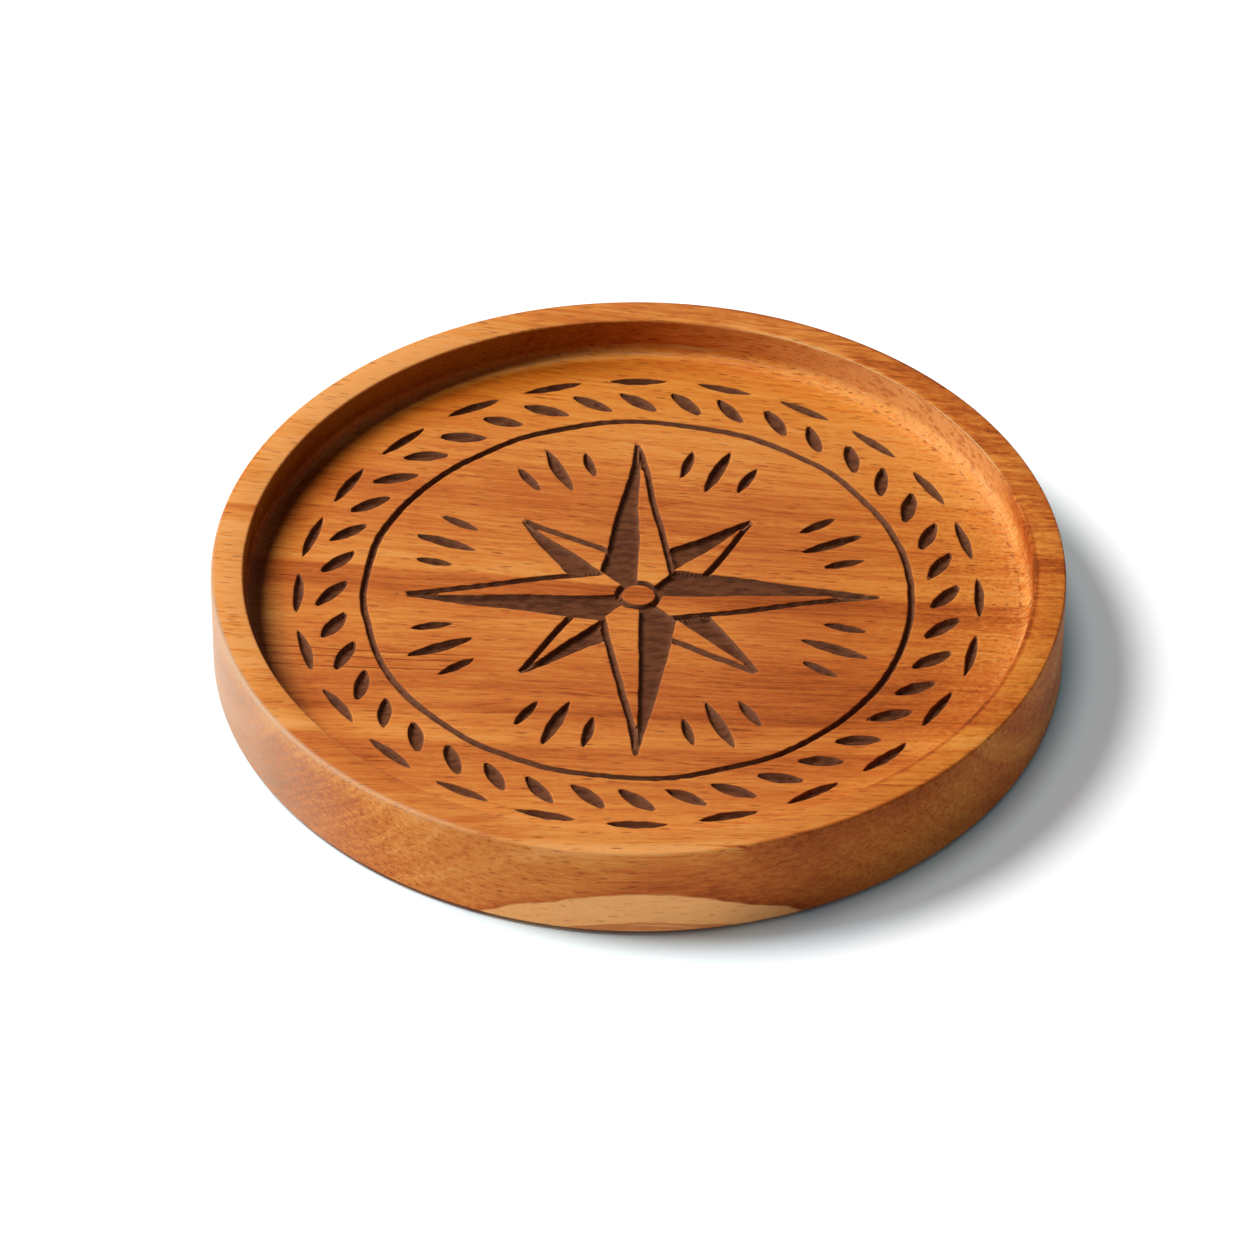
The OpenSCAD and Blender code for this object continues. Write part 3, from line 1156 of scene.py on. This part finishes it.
@dataclass
class Board:
    """The turned board: rim, wall, engraved floor, side and pocketed underside."""

    node: str = "board"
    top_edge_r: float = 0.3 * MM
    foot_edge_r: float = 0.4 * MM
    lip_edge_r: float = 0.3 * MM
    cove_r: float = 1.2 * MM
    pocket_h: float = 0.8 * MM
    pocket_gap: float = 0.2 * MM
    pocket_edge: float = 0.1 * MM
    columns: int = 576
    radial_rows: int = 12
    sharp: float = 38.0
    outer_r: float = field(init=False)
    underside_z: float = field(init=False)
    rim_z: float = field(init=False)
    recess_r: float = field(init=False)
    floor_z: float = field(init=False)
    engraving: Engraving = field(init=False)

    def __post_init__(self) -> None:
        """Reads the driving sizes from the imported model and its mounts."""
        low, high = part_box(self.node)
        mounts = {m["name"]: m for m in frame["record"]["mounts"]}
        self.outer_r = high.x
        self.underside_z = low.z
        self.rim_z = high.z
        self.recess_r = mounts["glass_recess"]["dims"]["r_mm"] * MM
        self.floor_z = mounts["glass_seat"]["pos_m"][2]
        self.engraving = Engraving(self.recess_r)

    def _wall_section(self) -> Array:
        """Half section from the floor's edge over the rim and down to the underside.

        Returns:
            Radius and height of each row.
        """
        cove = self.recess_r - self.cove_r, self.floor_z + self.cove_r
        lip = self.recess_r + self.lip_edge_r, self.rim_z - self.lip_edge_r
        top = self.outer_r - self.top_edge_r, self.rim_z - self.top_edge_r
        foot = self.outer_r - self.foot_edge_r, self.underside_z + self.foot_edge_r
        return np.concatenate([
            arc(cove, self.cove_r, -90, 0, 8),
            arc(lip, self.lip_edge_r, 180, 90, 4),
            arc(top, self.top_edge_r, 90, 0, 6),
            [[self.outer_r, (top[1] + foot[1]) / 2]],
            arc(foot, self.foot_edge_r, 0, -90, 6),
        ])

    def _floor(self) -> tuple[Array, Array]:
        """Engraved floor: a flat grid round the centre, pressed down inside the cuts.

        Wherever a cut's edge passes between two neighbours of the grid, the nearer of
        them is moved straight onto the edge, so the edge is a clean line.

        Returns:
            The grid, and whether each of its cells is folded from its first corner.
        """
        engraving = self.engraving
        radii = engraving.ring_radii()
        floor_r = self.recess_r - self.cove_r
        last_gap = 0.3 * MM
        radii = np.append(radii[radii < floor_r - last_gap], floor_r)
        grid = turned(np.stack([radii, np.full_like(radii, self.floor_z)], axis=1), self.columns)
        x, y = grid[:, :-1, 0], grid[:, :-1, 1]
        probe = 0.02 * MM
        distance = engraving.distance(x, y)
        slope_x = (engraving.distance(x + probe, y) - engraving.distance(x - probe, y)) / (2 * probe)
        slope_y = (engraving.distance(x, y + probe) - engraving.distance(x, y - probe)) / (2 * probe)
        least_slope = 0.5
        steep = np.maximum(slope_x**2 + slope_y**2, least_slope)
        on_edge = np.zeros(distance.shape, dtype=bool)
        for axis, step in ((0, 1), (0, -1), (1, 1), (1, -1)):
            beside = np.roll(distance, step, axis)
            if axis == 0:
                beside[0 if step == 1 else -1] = np.inf * np.sign(distance[0 if step == 1 else -1])
            on_edge |= (distance * beside <= 0) & (np.abs(distance) <= np.abs(beside))
        on_edge[:2] = False
        move = np.where(on_edge, distance / steep, 0.0)
        drop = np.where(on_edge, 0.0, engraving.depth(distance))
        close = np.s_[:, [*range(self.columns), 0]]
        moved = np.stack([x - move * slope_x, y - move * slope_y, self.floor_z - drop], axis=-1)[close]
        held = on_edge[close]
        height = moved[..., 2]
        across = np.abs(height[:-1, :-1] - height[1:, 1:]), np.abs(height[:-1, 1:] - height[1:, :-1])
        both = held[:-1, :-1] & held[1:, 1:], held[:-1, 1:] & held[1:, :-1]
        return moved, np.where(both[0] != both[1], both[0], across[0] < across[1])

    def _mark_cuts(self, board: bpy.types.Object) -> None:
        """Gives every point of the board its distance from the nearest cut, for the char.

        Args:
            board: The board.
        """
        mesh = board.data
        flat = np.empty(3 * len(mesh.vertices))
        mesh.vertices.foreach_get("co", flat)
        x, y, z = flat.reshape(-1, 3).T
        clear = 1 * MM
        on_floor = (np.hypot(x, y) < self.recess_r - self.cove_r - clear) & (z > self.floor_z - clear)
        distance = np.where(on_floor, self.engraving.distance(x, y), clear)
        layer = mesh.attributes.new(CUT_NAME, "FLOAT", "POINT")
        layer.data.foreach_set("value", np.clip(distance / MM, -1.0, 1.0).astype(np.float32))

    def _underside(self, pad: str) -> Array:
        """One quarter of the underside with its pocket.

        Rows run from the quarter's outline to the rim of the pocket in straight
        lines, then up the pocket's wall and in to its middle.

        Args:
            pad: The pad's node, which is stuck in the pocket.

        Returns:
            Points as rows by columns by 3.
        """
        low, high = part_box(pad)
        centre = np.array([(low.x + high.x) / 2, (low.y + high.y) / 2])
        pocket_r = (high.x - low.x) / 2 + self.pocket_gap
        outer_r = self.outer_r - self.foot_edge_r
        angle = np.arctan2(centre[1], centre[0]) + np.linspace(-np.pi / 4, np.pi / 4, self.columns // 4 + 1)
        around = np.stack([np.cos(angle), np.sin(angle)], axis=1)
        in_out = np.linspace(0.0, outer_r, self.radial_rows + 1)[:, None]
        outline = np.concatenate([outer_r * around, in_out[::-1] * around[-1], in_out * around[0]])
        away = outline - centre
        away /= np.linalg.norm(away, axis=1, keepdims=True)
        mouth = centre + away * (pocket_r + self.pocket_edge)
        share = np.array([0.0, 0.25, 0.55, 0.8, 1.0])[:, None, None]
        flat = outline + share * (mouth - outline)
        steps = ((pocket_r, self.pocket_edge), (pocket_r, self.pocket_h), (pocket_r / 2, self.pocket_h),
                 (0.0, self.pocket_h))
        pocket = [centre + away * radius for radius, _ in steps]
        rows = np.concatenate([flat, np.stack(pocket)])
        lift = np.array([0.0] * len(flat) + [height for _, height in steps])
        height = np.broadcast_to((self.underside_z + lift)[:, None, None], (*rows.shape[:2], 1))
        return np.concatenate([rows, height], axis=-1)

    def build(self) -> bpy.types.Object:
        """Makes the board, dresses it and hides the plain solid.

        Returns:
            The finished board.
        """
        floor, fold = self._floor()
        grids = [floor, turned(self._wall_section(), self.columns)]
        grids += [self._underside(pad) for pad in PADS]
        board = make_piece("engraved_board", grids, self.sharp, fold)
        self._mark_cuts(board)
        finish = WoodFinish(self.floor_z / MM, self.recess_r / MM, self.rim_z / MM)
        board.data.materials.append(finish.build())
        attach(board, "root")
        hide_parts(self.node)
        return board


@dataclass
class Pads:
    """The soft round pads that the board stands on."""

    foot_edge_r: float = 0.25 * MM
    top_edge_r: float = 0.1 * MM
    dish: float = 0.05 * MM
    columns: int = 96
    sharp: float = 50.0

    def _section(self, radius: float, thickness: float) -> Array:
        """Half section from the middle of the foot round to the middle of the top.

        The foot is dished a little, so it grips at its edge.

        Args:
            radius: Radius of the pad.
            thickness: Thickness of the pad.

        Returns:
            Radius and height of each row.
        """
        foot_in = radius - self.foot_edge_r
        share = np.linspace(0.0, 1.0, 8)[:-1]
        foot = np.stack([foot_in * share, self.dish * (1 - share**2)], axis=1)
        return np.concatenate([
            foot,
            arc((foot_in, self.foot_edge_r), self.foot_edge_r, -90, 0, 7),
            arc((radius - self.top_edge_r, thickness - self.top_edge_r), self.top_edge_r, 0, 90, 4),
            [[0.0, thickness]],
        ])

    def build(self) -> list[bpy.types.Object]:
        """Makes every pad from its node's place and size.

        Returns:
            The finished pads.
        """
        rubber = RubberFinish().build()
        made = []
        for node in PADS:
            low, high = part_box(node)
            grid = turned(self._section((high.x - low.x) / 2, high.z - low.z), self.columns)
            grid += np.array([(low.x + high.x) / 2, (low.y + high.y) / 2, low.z])
            pad = make_piece(f"soft_{node}", [grid], self.sharp)
            pad.data.materials.append(rubber)
            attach(pad, "root")
            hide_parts(node)
            made.append(pad)
        return made


class Part(Enum):
    """The lamps' parts in lighting the coaster."""

    KEY = "key"
    EDGE = "edge"


@dataclass(frozen=True)
class Lamp:
    """A round soft light that shines at the coaster.

    level is the brightness that it alone gives a white face turned to it.
    """

    part: Part
    azimuth: float
    elevation: float
    distance: float
    width: float
    level: float
    tint: Colour = (1.0, 1.0, 1.0)

    def build(self) -> None:
        """Makes the lamp."""
        turn, rise = np.radians(self.azimuth), np.radians(self.elevation)
        towards = Vector((np.cos(rise) * np.cos(turn), np.cos(rise) * np.sin(turn), np.sin(rise)))
        data = bpy.data.lights.new(self.part.value, "AREA")
        data.shape = "DISK"
        data.size = self.width
        data.energy = self.level * np.pi**2 * self.distance**2
        data.color = self.tint
        turned_to = towards.to_track_quat("Z", "Y").to_matrix().to_4x4()
        lamp = in_scene(self.part.value, data)
        lamp.matrix_world = Matrix.Translation(towards * self.distance) @ turned_to


@dataclass(frozen=True)
class Studio:
    """White table, pale surroundings and two soft lamps."""

    table_w: float = 6.0
    ambient: float = 0.03
    backdrop: float = 1.0
    lamps: tuple[Lamp, ...] = (
        Lamp(Part.KEY, azimuth=165.0, elevation=51.0, distance=1.1, width=0.5, level=1.22,
             tint=(1.0, 0.99, 0.97)),
        Lamp(Part.EDGE, azimuth=-90.0, elevation=0.6, distance=0.6, width=0.012, level=0.25),
    )

    def _surroundings(self) -> None:
        """Pale light from all sides, and white where the camera sees past the table."""
        world = bpy.data.worlds.new("pale_room")
        bpy.context.scene.world = world
        g = Graph(world)
        lights = [g.node("ShaderNodeBackground", inputs={"Strength": level})
                  for level in (self.ambient, self.backdrop)]
        mix = g.node("ShaderNodeMixShader", inputs={0: g.seen_directly(), 1: lights[0], 2: lights[1]})
        g.finish(mix, "ShaderNodeOutputWorld")

    def _table(self) -> None:
        """Flat table top under the pads."""
        half = self.table_w / 2
        corners = [(-half, -half, 0.0), (half, -half, 0.0), (half, half, 0.0), (-half, half, 0.0)]
        mesh = bpy.data.meshes.new("table_top")
        mesh.from_pydata(corners, [], [(0, 1, 2, 3)])
        mesh.materials.append(TableFinish().build())
        table = in_scene("table_top", mesh)

    def build(self) -> None:
        """Makes the surroundings, the table and the lamps."""
        self._surroundings()
        self._table()
        for lamp in self.lamps:
            lamp.build()


@dataclass(frozen=True)
class Viewpoint:
    """The camera, as fitted to the coaster's ellipses in the photograph."""

    photo_px: int = 1254
    focal_px: float = 7606.9
    sensor_w_mm: float = 36.0
    elevation: float = 40.665
    distance: float = 900.0 * MM
    aim: tuple[float, float, float] = (-1.3 * MM, 3.46 * MM, 0.0)
    roll: float = 0.36

    def build(self) -> None:
        """Makes the camera and gives it to the scene."""
        rise, roll = np.radians(self.elevation), np.radians(self.roll)
        back = Vector((0.0, -np.cos(rise), np.sin(rise)))
        level_up = Vector((0.0, np.sin(rise), np.cos(rise)))
        right = Vector((1.0, 0.0, 0.0)) * np.cos(roll) + level_up * np.sin(roll)
        turn = Matrix((right, back.cross(right), back)).transposed().to_4x4()
        data = bpy.data.cameras.new("camera")
        data.sensor_width = self.sensor_w_mm
        data.lens = self.focal_px / self.photo_px * self.sensor_w_mm
        camera = in_scene("camera", data)
        camera.matrix_world = Matrix.Translation(Vector(self.aim) + back * self.distance) @ turn
        bpy.context.scene.camera = camera


def main() -> None:
    """Builds the camera, the light and every piece, in order."""
    logging.basicConfig(level=logging.INFO, format="%(name)s: %(message)s")
    Viewpoint().build()
    Studio().build()
    bpy.context.scene.view_settings.view_transform = "Standard"
    board = Board().build()
    LOG.info("%s has %d faces", board.name, len(board.data.polygons))
    for pad in Pads().build():
        LOG.info("%s has %d faces", pad.name, len(pad.data.polygons))


if __name__ == "__main__":
    main()
